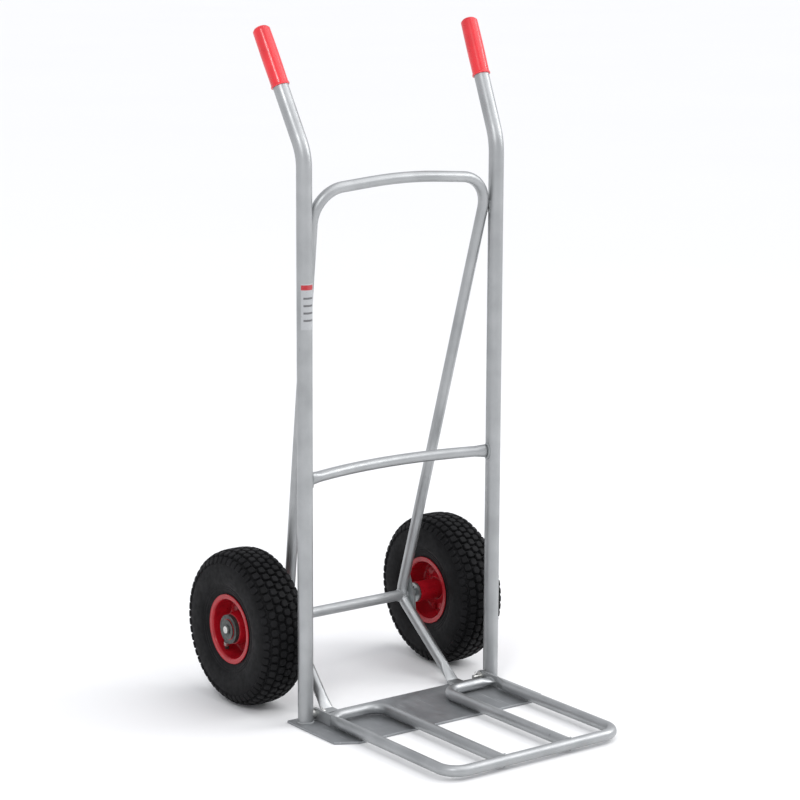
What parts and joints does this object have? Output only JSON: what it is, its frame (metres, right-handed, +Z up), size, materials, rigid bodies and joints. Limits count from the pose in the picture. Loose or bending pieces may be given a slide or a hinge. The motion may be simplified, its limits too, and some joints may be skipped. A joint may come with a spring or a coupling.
{
  "type": "hand truck",
  "caption": "Two-wheeled steel sack truck with bent tube uprights and grips, a bent back tube, a bowed crossbar, pneumatic wheels, a fixed toe plate and a tubular toe that folds up.",
  "frame": {"origin": "on the floor, half way between the uprights and in the plane of their axes, on the underside of the toe plate", "axes": "+X to the right seen from the front of the toe, +Y to the rear towards the wheels, +Z up"},
  "size_m": [0.489, 0.648, 1.1147],
  "materials": {
    "tube_steel": "satin silver coating over welded steel tube",
    "plate_steel": "satin silver-grey coating on steel sheet",
    "bracket_steel": "satin silver coating",
    "grip_red": "glossy soft PVC sleeve",
    "label_film": "printed film, plain bands",
    "bright_steel": "zinc plated",
    "tyre_rubber": "matte black rubber with block tread",
    "tube_rubber": "smooth butyl",
    "cap_plastic": "moulded black",
    "rim_red": "glossy red powder coat",
    "hub_steel": "dark coated steel tube",
    "bearing_steel": "ground steel",
    "seal_rubber": "moulded seal"
  },
  "bodies": {
    "frame": {"axle_rod": "bright_steel", "axle_sleeve": "tube_steel", "axle_washers": "hub_steel", "back_tube": "tube_steel", "label": "label_film", "left_axle_boss": "bracket_steel", "left_axle_gusset": "bracket_steel", "left_bearing_inner_races": "bearing_steel", "left_grip": "grip_red", "left_pivot_pin": "bright_steel", "left_race_spacer": "bright_steel", "left_upright": "tube_steel", "mid_crossbar": "tube_steel", "pivot_washers": "bright_steel", "retaining_rings": "hub_steel", "right_axle_boss": "bracket_steel", "right_axle_gusset": "bracket_steel", "right_bearing_inner_races": "bearing_steel", "right_grip": "grip_red", "right_pivot_pin": "bright_steel", "right_race_spacer": "bright_steel", "right_upright": "tube_steel", "split_pins": "bright_steel", "toe_plate": "plate_steel"},
    "toe_frame": {"toe_outer_tube": "tube_steel", "toe_left_inner_bar": "tube_steel", "toe_right_inner_bar": "tube_steel"},
    "left_wheel": {"left_tyre": "tyre_rubber", "left_inner_tube": "tube_rubber", "left_valve_cap": "bright_steel", "left_rim_outer_half": "rim_red", "left_rim_inner_half": "rim_red", "left_rim_bolts": "rim_red", "left_rim_nuts": "rim_red", "left_hub_tube": "rim_red", "left_dust_cover": "cap_plastic", "left_bearing_outer_races": "bearing_steel", "left_bearing_balls": "bearing_steel", "left_bearing_seals": "seal_rubber"},
    "right_wheel": {"right_tyre": "tyre_rubber", "right_inner_tube": "tube_rubber", "right_valve_cap": "bright_steel", "right_rim_outer_half": "rim_red", "right_rim_inner_half": "rim_red", "right_rim_bolts": "rim_red", "right_rim_nuts": "rim_red", "right_hub_tube": "rim_red", "right_dust_cover": "cap_plastic", "right_bearing_outer_races": "bearing_steel", "right_bearing_balls": "bearing_steel", "right_bearing_seals": "seal_rubber"}
  },
  "joints": [
    {"name": "toe_fold", "type": "hinge", "parent": "frame", "child": "toe_frame", "pos_m": [0, 0, 0.0145], "axis": [-1, 0, 0], "range_deg": [0, 97]},
    {"name": "left_wheel_spin", "type": "hinge", "parent": "frame", "child": "left_wheel", "pos_m": [-0.2015, 0.153, 0.13], "axis": [1, 0, 0], "continuous": true},
    {"name": "right_wheel_spin", "type": "hinge", "parent": "frame", "child": "right_wheel", "pos_m": [0.2015, 0.153, 0.13], "axis": [1, 0, 0], "continuous": true}
  ]
}
